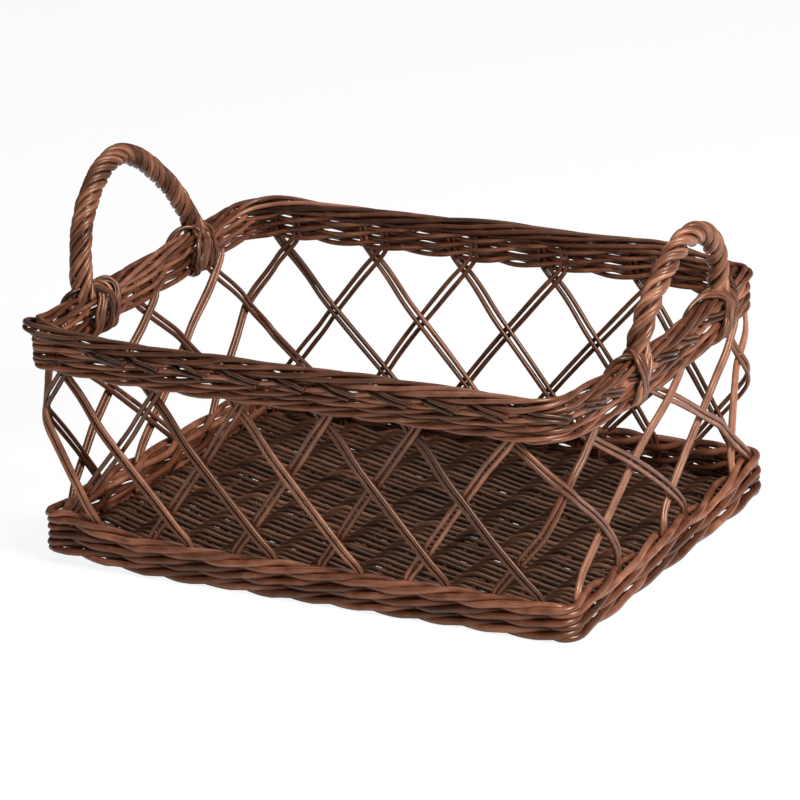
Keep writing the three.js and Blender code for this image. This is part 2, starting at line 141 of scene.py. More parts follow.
# How far the fan of the back wall carries the rim along
def fanAt(walk):
    backStart = wallLength[0] + wallLength[1]
    backEnd = backStart + wallLength[2]
    whole = walk % perimeter
    place = min(max(whole, backStart), backEnd)
    shift = settling["fanSpread"] * (place - (backStart + backEnd) / 2 + settling["fanMiddle"])
    shift = min(max(shift, -settling["fanMost"]), settling["fanMost"])
    return shift * max(0, 1 - abs(whole - place) / settling["fanFade"])


# Point on the wall at a distance round the foot, a height and a distance outwards from the stake line
def wallPoint(walk, z, out, loose=True):
    share = clamp((z - footTop) / (rimBottom - footTop))
    rest = (walk + fanAt(walk) * share * (2 - share)) % perimeter
    wall = 0
    while wall < 3 and rest >= wallLength[wall]:
        rest -= wallLength[wall]
        wall += 1
    halfX = mix(footSize.x, rimSize.x, share) / 2 - wallShape["halfBand"]
    halfY = mix(footSize.y, rimSize.y, share) / 2 - wallShape["halfBand"]
    halfAlong, halfOut = (halfX, halfY) if wall % 2 == 0 else (halfY, halfX)
    place = (2 * rest / wallLength[wall] - 1) * halfAlong
    side = math.copysign(1, place)
    corner = (wall + (1 if side > 0 else 0)) % 4
    radius = mix(wallShape["footCorners"][corner], wallShape["rimCorners"][corner], share)
    toCorner = halfAlong - abs(place)
    if toCorner < radius:
        turn = (1 - toCorner / radius) * math.pi / 4 * side
        outward = wallOut[wall] * math.cos(turn) + wallAlong[wall] * math.sin(turn)
        hub = wallOut[wall] * (halfOut - radius) + wallAlong[wall] * (halfAlong - radius) * side
        point = hub + outward * max(radius + out, wallShape["tightest"])
    else:
        point = wallOut[wall] * (halfOut + out) + wallAlong[wall] * place
    return settle(point.x, point.y, z, loose)


# Colours and materials

def linear(hexText):
    channels = [int(hexText[i:i + 2], 16) / 255 for i in (1, 3, 5)]
    return [c / 12.92 if c <= 0.04045 else ((c + 0.055) / 1.055) ** 2.4 for c in channels] + [1]


def addNode(tree, kind, settings=None, values=None, links=None):
    node = tree.nodes.new(kind)
    for key, value in (settings or {}).items():
        setattr(node, key, value)
    for key, value in (values or {}).items():
        node.inputs[key].default_value = value
    for key, socket in (links or {}).items():
        tree.links.new(socket, node.inputs[key])
    return node


# Peeled willow, stained and varnished: long fibres, a dark ring where a twig was cut off, a satin skin
def makeWillow(name, look):
    material = bpy.data.materials.new(name)
    material.use_nodes = True
    tree = material.node_tree
    shader = tree.nodes["Principled BSDF"]
    place = addNode(tree, "ShaderNodeAttribute", {"attribute_name": "rodPlace"}).outputs["Vector"]
    tone = addNode(tree, "ShaderNodeAttribute", {"attribute_name": "rodTone"}).outputs["Fac"]
    across = 1 / look["fibreWidth"]
    fibreMap = addNode(tree, "ShaderNodeMapping", None,
                       {"Scale": (1 / look["fibreLength"], across, across)}, {"Vector": place})
    fibre = addNode(tree, "ShaderNodeTexNoise", None,
                    {"Scale": 1, "Detail": look["detail"], "Roughness": look["fibreBreak"]},
                    {"Vector": fibreMap.outputs["Vector"]}).outputs["Fac"]
    blotch = addNode(tree, "ShaderNodeTexNoise", None,
                     {"Scale": 1 / look["blotchSize"], "Detail": look["detail"], "Roughness": look["blotchBreak"]},
                     {"Vector": place}).outputs["Fac"]
    along = addNode(tree, "ShaderNodeSeparateXYZ", None, None, {"Vector": place}).outputs["X"]
    knotPlace = addNode(tree, "ShaderNodeMath", {"operation": "MULTIPLY"},
                        {1: 1 / look["knotSpacing"]}, {0: along}).outputs["Value"]
    knotAway = addNode(tree, "ShaderNodeTexVoronoi", {"voronoi_dimensions": "1D"}, {"Scale": 1},
                       {"W": knotPlace}).outputs["Distance"]
    knot = addNode(tree, "ShaderNodeMapRange", {"interpolation_type": "SMOOTHSTEP"},
                   {"From Min": 0, "From Max": look["knotWidth"] / look["knotSpacing"], "To Min": 1, "To Max": 0},
                   {"Value": knotAway}).outputs["Result"]
    fibreShare = addNode(tree, "ShaderNodeMath", {"operation": "MULTIPLY_ADD"},
                         {1: look["fibreContrast"], 2: -0.5 * look["fibreContrast"]}, {0: fibre}).outputs["Value"]
    blotchShare = addNode(tree, "ShaderNodeMath", {"operation": "MULTIPLY_ADD"},
                          {1: look["blotchContrast"], 2: -0.5 * look["blotchContrast"]},
                          {0: blotch}).outputs["Value"]
    stain = addNode(tree, "ShaderNodeMath", {"operation": "ADD"}, None,
                    {0: fibreShare, 1: blotchShare}).outputs["Value"]
    shade = addNode(tree, "ShaderNodeMath", {"operation": "ADD", "use_clamp": True}, None,
                    {0: tone, 1: stain}).outputs["Value"]
    ramp = addNode(tree, "ShaderNodeValToRGB", None, None, {"Fac": shade})
    ramp.color_ramp.elements[0].color = linear(look["dark"])
    ramp.color_ramp.elements[1].color = linear(look["light"])
    ramp.color_ramp.elements.new(0.5).color = linear(look["middle"])
    knotShare = addNode(tree, "ShaderNodeMath", {"operation": "MULTIPLY"},
                        {1: look["knotShade"]}, {0: knot}).outputs["Value"]
    color = addNode(tree, "ShaderNodeMix", {"data_type": "RGBA"}, {"B": linear(look["knot"])},
                    {"Factor": knotShare, "A": ramp.outputs["Color"]})
    tree.links.new(color.outputs["Result"], shader.inputs["Base Color"])
    polish = addNode(tree, "ShaderNodeMapRange", None,
                     {"To Min": look["roughness"] - look["smoother"], "To Max": look["roughness"] + look["rougher"]},
                     {"Value": fibre})
    tree.links.new(polish.outputs["Result"], shader.inputs["Roughness"])
    height = addNode(tree, "ShaderNodeMath", {"operation": "MULTIPLY_ADD"},
                     {1: look["knotHeight"]}, {0: knot, 2: fibre})
    bump = addNode(tree, "ShaderNodeBump", None, {"Strength": look["bump"], "Distance": look["bumpDepth"]},
                   {"Height": height.outputs["Value"]})
    tree.links.new(bump.outputs["Normal"], shader.inputs["Normal"])
    shader.inputs["IOR"].default_value = look["ior"]
    shader.inputs["Specular IOR Level"].default_value = look["gloss"]
    shader.inputs["Specular Tint"].default_value = linear(look["sheen"])
    return material


willowLook = {
    "fibreLength": 45 * mm, "fibreWidth": 0.9 * mm,     # real fibres are finer, drawn wide enough to show
    "blotchSize": 14 * mm, "detail": 2, "fibreBreak": 0.55, "blotchBreak": 0.5,
    "fibreContrast": 0.45, "blotchContrast": 0.75,
    "knotSpacing": 150 * mm, "knotWidth": 1.2 * mm, "knotShade": 0.3, "knotHeight": 0.3,
    "roughness": 0.34, "smoother": 0.1, "rougher": 0.12, "bump": 0.2, "bumpDepth": 0.3 * mm,
    "ior": 1.5, "gloss": 0.55, "sheen": "#ffd9c0",
    "dark": "#24110a", "middle": "#562e1d", "light": "#956149", "knot": "#1a0c06",
}
stakeLook = {**willowLook, "fibreContrast": 0.3, "dark": "#27120b", "middle": "#532e1d", "light": "#8f5e48"}
borderLook = {**willowLook, "dark": "#210f09", "middle": "#4f2c1d", "light": "#8a5b47"}
# The base's willow is the walls' willow drawn darker: painted shade of the basket's inside
baseShadedLook = {**willowLook, "dark": "#180c07", "middle": "#3a2217", "light": "#5c3d2d"}
# The rope's willow is drawn lighter than the rest: painted light on the handles standing up into the lamps; its streaks
# and rod-to-rod tones are the willow's own
handleLitLook = {**willowLook, "dark": "#200f09", "middle": "#5f3927", "light": "#a77259"}
# Willow cut across: the open pith takes the stain unevenly and stays dull
cutLook = {
    **willowLook, "roughness": 0.75, "gloss": 0.2, "dark": "#3d281d", "middle": "#65493a", "light": "#8a6b57",
}
stakeWillow = makeWillow("Stained willow stakes", stakeLook)
waleWillow = makeWillow("Stained willow waling", willowLook)
borderWillow = makeWillow("Stained willow border", borderLook)
baseShadedWillow = makeWillow("Stained willow base with painted shade", baseShadedLook)
handleLitWillow = makeWillow("Stained willow rope with painted light", handleLitLook)
cutWillow = makeWillow("Cut willow ends", cutLook)
print("materials made")


# Rods: round sticks swept along a path, with their own straightened coordinates for the grain

rodShape = {
    "swell": 0.035, "openWaves": 7, "loopWaves": 12,        # no rod is equally thick all along
    "tone": 0.5, "toneSpread": 0.17, "sides": 10, "grainApart": 0.7,
}


def rod(path, width, loop=False, tone=None, taper=0.0):
    phase = dice.uniform(0, 2 * math.pi)
    waves = rodShape["loopWaves" if loop else "openWaves"]
    radii = []
    for i in range(len(path)):
        share = i / (len(path) - 1)
        swell = 1 + rodShape["swell"] * math.sin(phase + share * waves * math.pi)
        radii.append(width / 2 * (1 - taper * share) * swell)
    if tone is None:
        tone = dice.gauss(rodShape["tone"], rodShape["toneSpread"])
    return {"path": path, "radii": radii, "loop": loop, "tone": tone}


def makePiece(name, rods, skin, nodes, sides=rodShape["sides"]):
    curve = bpy.data.curves.new(name, "CURVE")
    curve.dimensions = "3D"
    curve.bevel_depth = mm          # a point's radius is then in millimetres
    curve.bevel_resolution = sides // 2 - 2
    for item in rods:
        spline = curve.splines.new("POLY")
        spline.points.add(len(item["path"]) - 1)
        spline.use_cyclic_u = item["loop"]
        for point, place, radius in zip(spline.points, item["path"], item["radii"]):
            point.co = (*place, 1)
            point.radius = radius / mm
    source = bpy.data.objects.new(name, curve)
    scene.collection.objects.link(source)
    mesh = bpy.data.meshes.new_from_object(source.evaluated_get(bpy.context.evaluated_depsgraph_get()))
    bpy.data.objects.remove(source)
    # straightened place on each rod: along it, and across it in two directions
    places = []
    tones = []
    for number, item in enumerate(rods):
        along = number * rodShape["grainApart"]             # so that no two rods share their grain
        for i, place in enumerate(item["path"]):
            if i > 0:
                along += (place - item["path"][i - 1]).length
            for j in range(sides):
                angle = 2 * math.pi * j / sides
                places += [along, item["radii"][i] * math.cos(angle), item["radii"][i] * math.sin(angle)]
                tones.append(item["tone"])
    mesh.attributes.new("rodPlace", "FLOAT_VECTOR", "POINT").data.foreach_set("vector", places)
    mesh.attributes.new("rodTone", "FLOAT", "POINT").data.foreach_set("value", tones)
    bm = bmesh.new()
    bm.from_mesh(mesh)
    for face in bm.faces:
        face.smooth = True
    openEdges = [edge for edge in bm.edges if edge.is_boundary]
    for face in bmesh.ops.holes_fill(bm, edges=openEdges, sides=0)["faces"]:
        face.smooth = False
        face.material_index = 1
    bmesh.ops.recalc_face_normals(bm, faces=bm.faces)
    bm.to_mesh(mesh)
    bm.free()
    mesh.materials.clear()
    mesh.materials.append(skin)
    mesh.materials.append(cutWillow)
    piece = bpy.data.objects.new(name, mesh)
    scene.collection.objects.link(piece)
    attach(piece, "root")
    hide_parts(*nodes)
    print(name, "made:", len(rods), "rods,", len(mesh.polygons), "faces")
    return piece


# Stakes: pairs of rods that lean both ways and cross three times on their way to the rim

stakes = {
    "rod": 3.3 * mm, "widths": (0.92, 1.05), "tone": 0.5, "toneSpread": 0.14, "rodSpread": 0.06,
    "gap": 0.6 * mm, "gapSpread": 0.9 * mm, "gapMean": 0.75, "gapSwing": 0.4, "gapWave": 17 * mm,
    "closeGap": 0.3 * mm, "closeReach": 15 * mm,            # a pair closes up towards both bands
    "bow": 0.9 * mm, "bowWaves": 3,                         # no rod is quite straight
    "copies": [6, 3, 6, 3],
    "lead": [11.5 * mm, 22 * mm, 12 * mm, 17.5 * mm],       # first corner to the first pair
    "tail": [53 * mm, 46 * mm, 67 * mm, 61 * mm],           # last pair to the next corner
    "ease": [19.4 * mm, 22.9 * mm, 26.3 * mm, 22.9 * mm],   # foot to the first crossing
    "bias": [0.03, 0.04, 0.1, 0.05],                        # lean of both rows to one side, in pitches
    "lastCrossing": 130.1 * mm, "crossingHalf": 5.7 * mm, "crossingOut": 1.85 * mm,
    "footEnd": 5 * mm, "rimEnd": waleTop - 1 * mm, "step": 3 * mm, "slopeReach": 2 * mm,
    "bend": 3.5 * mm, "bendShares": (-1, -0.5, 0, 0.5, 1),
    # pairs that don't keep to the pattern: foot and rim place, in pitches, and how late they lean over
    "strays": {
        ("front", "left_1"): (0.36, -0.36, 1),
        ("right", "right_1"): (5.89, 7.5, 1), ("right", "left_1"): (6.48, 5.2, 1.7),
        ("right", "right_2"): (7.11, 8.73, 1.38), ("right", "left_2"): (7.42, 6.12, 1.25),
        ("right", "right_3"): (8.2, 9.1, 1), ("right", "left_3"): (8.73, 7.04, 0.95),
        ("back", "left_1"): (9.6, 8.52, 1), ("left", "right_3"): (17, 18.18, 1),
    },
}
wallRise = rimBottom - footTop
stepWalks = []
stakePairs = []
start = 0
for wall in range(4):
    copies = stakes["copies"][wall]
    pitch = (wallLength[wall] - stakes["lead"][wall] - stakes["tail"][wall]) / (copies - 1)
    crossingRise = (stakes["lastCrossing"] - footTop - stakes["ease"][wall]) / 2
    lean = wallRise / crossingRise / 2
    for i in range(copies):
        step = len(stepWalks)
        low = step + stakes["ease"][wall] / crossingRise
        stepWalks.append(start + stakes["lead"][wall] + i * pitch)
        stakePairs.append((wallNames[wall], f"right_{i + 1}", step, step + lean - stakes["bias"][wall], -1))
        stakePairs.append((wallNames[wall], f"left_{i + 1}", low, low - lean - stakes["bias"][wall], 1))
    start += wallLength[wall]
stakeCount = len(stepWalks)
lowestCrossing = footTop + min(stakes["ease"])
highestMiddle = (footTop + max(stakes["ease"]) + stakes["lastCrossing"]) / 2


def walkAtStep(step):
    whole = math.floor(step)
    turn, index = divmod(whole, stakeCount)
    here = stepWalks[index]
    after = stepWalks[index + 1] if index + 1 < stakeCount else stepWalks[0] + perimeter
    return turn * perimeter + mix(here, after, step - whole)


# Averaged over a short height, so that the rods bend softly at the bands
def stakeWalk(low, high, late, z):
    total = 0
    for part in stakes["bendShares"]:
        share = clamp((z + part * stakes["bend"] - footTop) / wallRise)
        total += walkAtStep(mix(low, high, share ** late))
    return total / len(stakes["bendShares"])


def stakeOut(side, z):
    half = stakes["crossingHalf"]
    last = stakes["lastCrossing"]
    bends = [(footTop, 0), (lowestCrossing - half, side), (highestMiddle + half, side), (last - half, -side),
             (last + half, -side), (rimBottom + half, 0)]
    if z <= bends[0][0] or z >= bends[-1][0]:
        return 0
    for (z0, out0), (z1, out1) in zip(bends, bends[1:]):
        if z0 <= z <= z1:
            return mix(out0, out1, ease((z - z0) / (z1 - z0))) * stakes["crossingOut"]


def stakeRods(low, high, side, late):
    first, last, reach = (stakes[key] for key in ("footEnd", "rimEnd", "slopeReach"))
    count = math.ceil((last - first) / stakes["step"])
    spread = stakes["gap"] + dice.uniform(0, 1) * stakes["gapSpread"]
    wave = dice.uniform(0, 2 * math.pi)
    bow = dice.gauss(0, stakes["bow"])
    tone = dice.gauss(stakes["tone"], stakes["toneSpread"])
    pair = []
    for half in (-1, 1):
        path = []
        for i in range(count + 1):
            z = mix(first, last, i / count)
            before, after = (stakeWalk(low, high, late, z + shift) for shift in (-reach, reach))
            run = Vector((after - before, 2 * reach)).normalized()
            up = clamp((z - footTop) / wallRise)
            openness = clamp((z - footTop) / stakes["closeReach"]) * clamp((rimBottom - z) / stakes["closeReach"])
            swing = stakes["gapMean"] + stakes["gapSwing"] * math.sin(wave + z / stakes["gapWave"])
            apart = stakes["rod"] + stakes["closeGap"] + spread * openness * swing
            bend = bow * math.sin(math.pi * up) * math.cos(wave + stakes["bowWaves"] * up)
            aside = half * apart / 2 + bend
            walk = stakeWalk(low, high, late, z) + run.y * aside
            path.append(wallPoint(walk, z - run.x * aside, stakeOut(side, z), loose=False))
        width = stakes["rod"] * dice.uniform(*stakes["widths"])
        pair.append(rod(path, width, tone=tone + dice.gauss(0, stakes["rodSpread"])))
    return pair


for wallName in wallNames:
    rods = []
    nodes = []
    for name, row, low, high, side in stakePairs:
        if name == wallName:
            low, high, late = stakes["strays"].get((name, row), (low, high, 1))
            rods += stakeRods(low, high, side, late)
            nodes.append(f"{name}_stakes_rising_{row}")
    makePiece(f"{wallName}_stake_rods", rods, stakeWillow, nodes)


# Waling: three rods a round, each in front of two posts and behind the third, rising as it goes

waling = {
    "footRounds": 3, "footRod": 4.85 * mm, "footWidths": (0.94, 1.05),
    "footRise": 8.3 * mm, "footOut": 4.6 * mm, "footSink": 0.4 * mm,
    "rimRounds": 3, "rimRod": 3.45 * mm, "rimWidths": (0.92, 1.06),
    "rimRise": 6.6 * mm, "rimOut": 3.8 * mm, "rimSink": 1.7 * mm,
    "rods": 3, "tuck": 0.6 * mm, "belly": 1.12, "jitterZ": 0.25 * mm, "jitterOut": 0.4 * mm, "samples": 9,
    "ground": 0.52,                 # lowest middle of a rod, in widths, so that nothing goes below the ground
}
posts = []                          # one for each pair of stakes
start = 0
for wall in range(4):
    count = 2 * stakes["copies"][wall]
    posts += [start + wallLength[wall] * i / count for i in range(count)]
    start += wallLength[wall]


def waleRod(z, phase, rise, width, reach):
    half = rise / 4
    tuck = half + waling["tuck"]
    # rise and way out at each half post
    cycle = [(-half, 1), (0, waling["belly"]), (half, 1), (tuck, 0), (0, -1), (-tuck, 0)]
    knots = []
    for i in range(2 * len(posts)):
        lift, out = cycle[(i - 2 * phase) % len(cycle)]
        knots.append((lift + dice.gauss(0, waling["jitterZ"]), out * reach + dice.gauss(0, waling["jitterOut"])))
    path = []
    for i in range(2 * len(posts)):
        here = posts[i // 2]
        after = posts[i // 2 + 1] if i // 2 + 1 < len(posts) else posts[0] + perimeter
        for j in range(waling["samples"]):
            share = j / waling["samples"]
            lift, out = curveThrough(knots, i, share, loop=True)
            height = max(z + lift, width * waling["ground"])
            path.append(wallPoint(mix(here, after, (i % 2 + share) / 2), height, out))
    return rod(path, width, loop=True)


for i in range(waling["footRounds"]):
    z = (i + 0.5) * waling["footRise"] - waling["footSink"]
    rods = []
    for phase in range(waling["rods"]):
        width = waling["footRod"] * dice.uniform(*waling["footWidths"])
        rods.append(waleRod(z, phase + i, waling["footRise"], width, waling["footOut"]))
    makePiece(f"foot_waling_{i + 1}", rods, waleWillow, [f"foot_wale_round_{i + 1}"])
rods = []
for i in range(waling["rimRounds"]):
    z = rimBottom + (i + 0.5) * waling["rimRise"] - waling["rimSink"]
    for phase in range(waling["rods"]):
        width = waling["rimRod"] * dice.uniform(*waling["rimWidths"])
        rods.append(waleRod(z, phase + i, waling["rimRise"], width, waling["rimOut"]))
makePiece("rim_waling", rods, waleWillow, ["rim_wale_round_1", "rim_wale_round_2"])


# Border: the stake tops lie along the rim to the right, climb over its outside and go down inside,
# and come out under the roll as pairs of cut tips

border = {
    "strands": 36, "rod": 3.8 * mm, "widths": (0.84, 1.08), "taper": 0.1, "tone": 0.5, "toneSpread": 0.18,
    "lay": 215 * mm, "from": -0.3, "turns": 1.08, "scatter": 2.5 * mm, "samples": 110,
    "hiddenShare": 0.07,                        # both ends lie inside the roll
    "middle": 161.9 * mm, "halfHigh": 3.75 * mm, "halfWide": 4.9 * mm, "wander": 0.55 * mm, "wanders": 9,
    # tight corners, front left and back right: place and how much the strands stand up and out there
    "corners": [(0, 1), (wallLength[0] + wallLength[1], 0.8)],
    "cornerReach": 15 * mm, "cornerOut": 4.5 * mm, "cornerUp": 5 * mm, "cornerBlend": 8 * mm,
}
tips = {
    "rod": 2.9 * mm, "widths": (0.9, 1.05), "tone": 0.15, "toneSpread": 0.1, "rodSpread": 0.06,
    "scatter": 3 * mm, "lengths": (0.86, 1.1), "samples": 7, "middle": 18 * mm, "cornerClear": 26 * mm,
    # along the rim, height and way out, in millimetres
    "route": [(-6, 159.2, -1), (3, 158.8, 2.2), (10, 157.8, 5.2), (17, 156.6, 6.8), (25, 155.2, 7.3), (33, 153.6, 7.4)],
    "stagger": 1.6, "jitterAlong": 0.8, "jitterZ": 0.2, "jitterOut": 0.25,
}


# Distance along the rim from a corner, the shorter way round
def pastCorner(walk, corner):
    return (walk - corner + perimeter / 2) % perimeter - perimeter / 2


def borderPoint(walk, z, out):
    swell = 0
    for corner, share in border["corners"]:
        swell += share * math.exp(-(pastCorner(walk, corner) / border["cornerReach"]) ** 2)
    outside = clamp(0.5 + out / border["cornerBlend"])
    return wallPoint(walk, z + border["cornerUp"] * swell, out + border["cornerOut"] * swell * outside)


rods = []
for i in range(border["strands"]):
    first = perimeter * (i + 0.5) / border["strands"] + dice.gauss(0, border["scatter"])
    sway = [(dice.gauss(0, 1), dice.gauss(0, 1)) for _ in range(border["wanders"] + 1)]
    path = []
    for j in range(border["samples"] + 1):
        share = j / border["samples"]
        span = min(int(share * border["wanders"]), border["wanders"] - 1)
        swayZ, swayOut = curveThrough(sway, span, share * border["wanders"] - span)
        angle = 2 * math.pi * (border["from"] + border["turns"] * share)
        shown = ease(clamp(min(share, 1 - share) / border["hiddenShare"]))
        z = border["middle"] + border["halfHigh"] * shown * math.sin(angle) + border["wander"] * swayZ
        out = border["halfWide"] * shown * math.cos(angle) + border["wander"] * swayOut
        path.append(borderPoint(first + border["lay"] * border["turns"] * share, z, out))
    width = border["rod"] * dice.uniform(*border["widths"])
    rods.append(rod(path, width, taper=border["taper"], tone=dice.gauss(border["tone"], border["toneSpread"])))
for i in range(border["strands"]):
    first = perimeter * i / border["strands"] + dice.gauss(0, tips["scatter"])
    tone = dice.gauss(tips["tone"], tips["toneSpread"])
    length = dice.uniform(*tips["lengths"])
    away = min(abs(pastCorner(first + tips["middle"], corner)) for corner, _ in border["corners"])
    if away < tips["cornerClear"]:              # none where the roll turns a tight corner
        continue
    for half in (-1, 1):
        drop = half * tips["rod"] / 2 / mm
        knots = []
        for walk, z, out in tips["route"]:
            along = walk * length + half * tips["stagger"] + dice.gauss(0, tips["jitterAlong"])
            height = z + drop + dice.gauss(0, tips["jitterZ"])
            knots.append((along, height, out + dice.gauss(0, tips["jitterOut"])))
        path = []
        for span in range(len(knots) - 1):
            last = 1 if span == len(knots) - 2 else 0
            for j in range(tips["samples"] + last):
                walk, z, out = curveThrough(knots, span, j / tips["samples"])
                path.append(wallPoint(first + walk * mm, z * mm, out * mm))
        width = tips["rod"] * dice.uniform(*tips["widths"])
        rods.append(rod(path, width, tone=tone + dice.gauss(0, tips["rodSpread"])))
makePiece("border_rods", rods, borderWillow, ["border_strand_1", "border_strand_2"])


# Base: sticks from front to back, and weavers that pass over and under them in turn

matLow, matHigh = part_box("base_mat")
base = {
    "sticks": 11, "stick": 6 * mm, "stickDrift": 0.4 * mm, "stickSamples": 12,
    "rows": 72, "weaver": 3.8 * mm, "widths": (0.88, 1.06), "sides": 8, "samples": 9, "corner": 8 * mm,
    "drift": 0.35 * mm, "slack": 0.15, "slant": 0.3 * mm,
    "skew": 0.5, "straight": 0.6,               # a stroke goes up steeply, then down in a long straight line
}
stickWalks = []
rods = []
nodes = []
for i in range(base["sticks"]):
    node = f"base_stick_{i + 1:02d}"
    low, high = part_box(node)
    stickWalks.append((low.x + high.x) / 2)
    z = (low.z + high.z) / 2
    path = []
    for k in range(base["stickSamples"] + 1):
        x = stickWalks[-1] + dice.gauss(0, base["stickDrift"])
        y = mix(low.y, high.y, k / base["stickSamples"])
        path.append(Vector((x, y, z + cornerLift(x - centre.x, y - centre.y))))
    rods.append(rod(path, base["stick"]))
    nodes.append(node)
makePiece("base_stick_rods", rods, baseShadedWillow, nodes)

stickPitch = (stickWalks[-1] - stickWalks[0]) / (base["sticks"] - 1)
rowPitch = (matHigh.y - matLow.y) / base["rows"]
matMiddle = (matLow.z + matHigh.z) / 2
reach = (matHigh.z - matLow.z) / 2 - base["weaver"] / 2
rods = []
for row in range(base["rows"]):
    y = matLow.y + (row + 0.5) * rowPitch
    toEdge = min(y - matLow.y, matHigh.y - y)
    short = max(base["corner"] - toEdge, 0)
    inset = base["corner"] - math.sqrt(base["corner"] ** 2 - short ** 2)
    firstX, lastX = matLow.x + inset, matHigh.x - inset
    count = math.ceil((lastX - firstX) / stickPitch * base["samples"])
    knots = []
    for _ in range(base["sticks"] + 2):
        knots.append((dice.gauss(0, base["drift"]), 1 - abs(dice.gauss(0, base["slack"]))))
    path = []
    for i in range(count + 1):
        x = mix(firstX, lastX, i / count)
        beat = (x - stickWalks[0]) / stickPitch
        span = min(max(math.floor(beat), -1), base["sticks"] - 1) + 1
        wander, slack = curveThrough(knots, span, clamp(beat + 1 - span))
        turn = math.pi * (beat + row)
        wave = math.cos(turn + base["skew"] * math.cos(turn))
        lift = mix(wave, math.asin(wave) * 2 / math.pi, base["straight"])
        aside = wander - base["slant"] * math.sin(turn)             # each stroke falls towards the front
        z = matMiddle + reach * lift * slack + cornerLift(x - centre.x, y - centre.y)
        path.append(Vector((x, y + aside, z)))
    rods.append(rod(path, base["weaver"] * dice.uniform(*base["widths"])))
makePiece("base_weavers", rods, baseShadedWillow, ["base_mat"], sides=base["sides"])


# Handles: strands of rods laid into a rope, arched over the rim and tied down with their own ends.
# A tie is a bundle of rods wound round the rim: the number of rods, then the stops of their route. Each stop gives
# quarter turns (0 on top, 1 on the inside, 2 underneath, -1 on the outside), the place along the wall and how far
# the rods stand off, in millimetres.

handles = {
    # the core rod's tone is near black: painted shade between the strands
    "samples": 190, "foot": rimTop - 4 * mm, "coreMore": 1 * mm, "coreShadeTone": 0.1,
    "widths": (0.93, 1.06), "toneSpread": 0.16, "proud": (0.95, 1.04), "middleProud": 1.12,
    "footSlack": 0.45, "footReach": 18 * mm,                # the rope turns more slowly near its feet
    "splay": 0.25, "splayReach": 9 * mm,                    # and opens a little
    "left": {
        "wall": 3, "feet": (65 * mm, -74.5 * mm), "top": 244 * mm, "lean": 6 * mm, "crown": 5 * mm,
        "point": (1.38, 1.02), "strands": 5, "rodsEach": 2, "beside": 12, "rod": 3.2 * mm, "ring": 5.5 * mm,
        # The left rope's rods are drawn darker than the right's: painted shade, as the key lamp lights the left handle
        # fully
        "lay": (36 * mm, 46 * mm), "thickness": (0.98, 1.12), "tone": 0.4,
        "ties": [
            (4, [(-1.2, -78, 1), (-0.5, -76, 1), (0, -70, 1.5), (0.5, -62, 1.5), (1, -70, 1), (1.5, -74, 1),
                 (2, -80, 0.5)]),
            (4, [(-0.8, -66, 0), (0, -54, 1), (0.5, -48, 1.5), (1, -52, 1), (1.5, -56, 1.5), (1.9, -60, 2),
                 (2.2, -64, 2.5)]),
            (3, [(-0.9, -88, 0.5), (-0.3, -84, 2), (0.2, -72, 3), (0.7, -60, 2.5), (1.2, -57, 2), (1.7, -62, 1.5),
                 (2.1, -70, 1)]),
            (4, [(-1.3, 40, 0), (-0.5, 48, 1), (0, 58, 2), (0.5, 66, 2), (1, 70, 1), (1.5, 71, 1), (1.9, 70, 1.5)]),
            (4, [(-0.4, 72, 1), (0, 68, 1), (0.5, 63, 1.5), (1, 60, 1), (1.5, 57, 1), (2, 56, 1), (3, 58, 0)]),
            (2, [(1.9, 52, 1), (1.3, 50, 2), (0.8, 54, 2.5), (0.2, 64, 3), (-0.3, 72, 2)]),
        ],
    },
    "right": {
        "wall": 1, "feet": (-24 * mm, 92 * mm), "top": 228 * mm, "lean": 11 * mm, "crown": -2 * mm,
        "point": (1.06, 1.06), "strands": 3, "rodsEach": 3, "beside": 23, "rod": 3.7 * mm, "ring": 5.2 * mm,
        "lay": (43 * mm, 37 * mm), "thickness": (1.05, 0.97), "tone": 0.5,
        "ties": [
            (3, [(0.8, -48, 0), (0.4, -43, 1), (0, -36, 1.5), (-0.5, -28, 1.5), (-1, -30, 1), (-1.5, -34, 1),
                 (-2, -38, 1), (-2.6, -40, 0)]),
            (4, [(0.3, -16, 1), (0, -19, 1), (-0.5, -22, 1), (-1, -30, 0.5), (-1.5, -38, 0.5), (-2, -42, 1)]),
            (2, [(0.9, -20, 1), (0.4, -24, 2.5), (0, -30, 3), (-0.5, -34, 2.5), (-1, -33, 2), (-1.6, -30, 1)]),
            (4, [(0.9, 62, 0), (0.5, 66, 1), (0.1, 76, 2), (-0.2, 86, 2), (-0.6, 94, 2), (-1, 92, 1), (-1.5, 84, 1),
                 (-2, 78, 1), (-2.6, 76, 0)]),
            (4, [(0.6, 104, 0), (0, 102, 1), (-0.5, 98, 1), (-1, 90, 1), (-1.5, 82, 1), (-2, 76, 1)]),
            (3, [(0.7, 74, 1), (0.2, 84, 2.5), (-0.2, 94, 3), (-0.6, 98, 2.5), (-1.1, 94, 2), (-1.7, 88, 1.5)]),
        ],
    },
}


def archPoint(shape, share):
    angle = math.pi * share
    first, last = shape["feet"]
    point = shape["point"][0 if share < 0.5 else 1]             # above 1 the arch is pointed
    lift = math.sin(angle) ** point
    along = math.copysign(abs(math.cos(angle)) ** point, math.cos(angle))
    y = (first + last) / 2 - (last - first) / 2 * along - shape["crown"] * lift
    x = wallOut[shape["wall"]].x * (rimSize.x / 2 - wallShape["halfBand"] + shape["lean"] * lift)
    return settle(x, y, mix(handles["foot"], shape["top"], lift))


